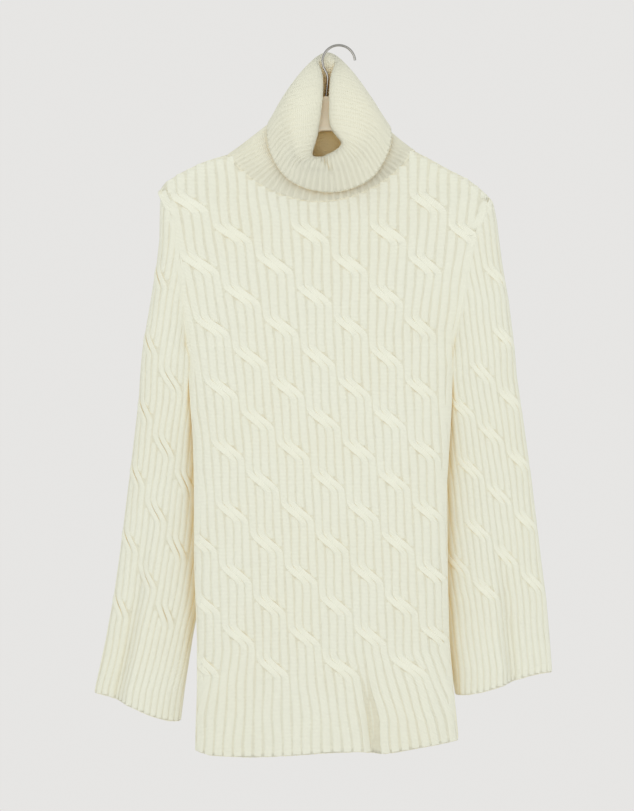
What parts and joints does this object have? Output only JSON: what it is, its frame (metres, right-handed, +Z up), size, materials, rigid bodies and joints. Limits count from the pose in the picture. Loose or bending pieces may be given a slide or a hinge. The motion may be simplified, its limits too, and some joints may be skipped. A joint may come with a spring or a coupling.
{
  "type": "knit dress on a hanger",
  "caption": "Long knitted dress with rib-and-cable texture, turned-down roll collar and bell sleeves, hanging flat on a plain hanger with a wire hook.",
  "frame": {"origin": "underside of the hook's crown, where it rests on a peg or rail that runs along Y", "axes": "+X to the right as seen from the front, +Y from the front of the dress to its back, +Z up"},
  "size_m": [0.6216, 0.0893, 0.9592],
  "materials": {
    "front": "soft cream rib-and-cable knit, matt",
    "back": "soft cream rib-and-cable knit, matt",
    "sleeve_left": "soft cream rib-and-cable knit, matt",
    "sleeve_right": "soft cream rib-and-cable knit, matt",
    "collar": "soft cream rib-and-cable knit, matt",
    "hanger": "pale, satin",
    "hook": "polished wire"
  },
  "bodies": {
    "root": {"front": "front", "back": "back", "sleeve_left": "sleeve_left", "sleeve_right": "sleeve_right", "collar": "collar", "hanger": "hanger", "hook": "hook"}
  },
  "joints": []
}
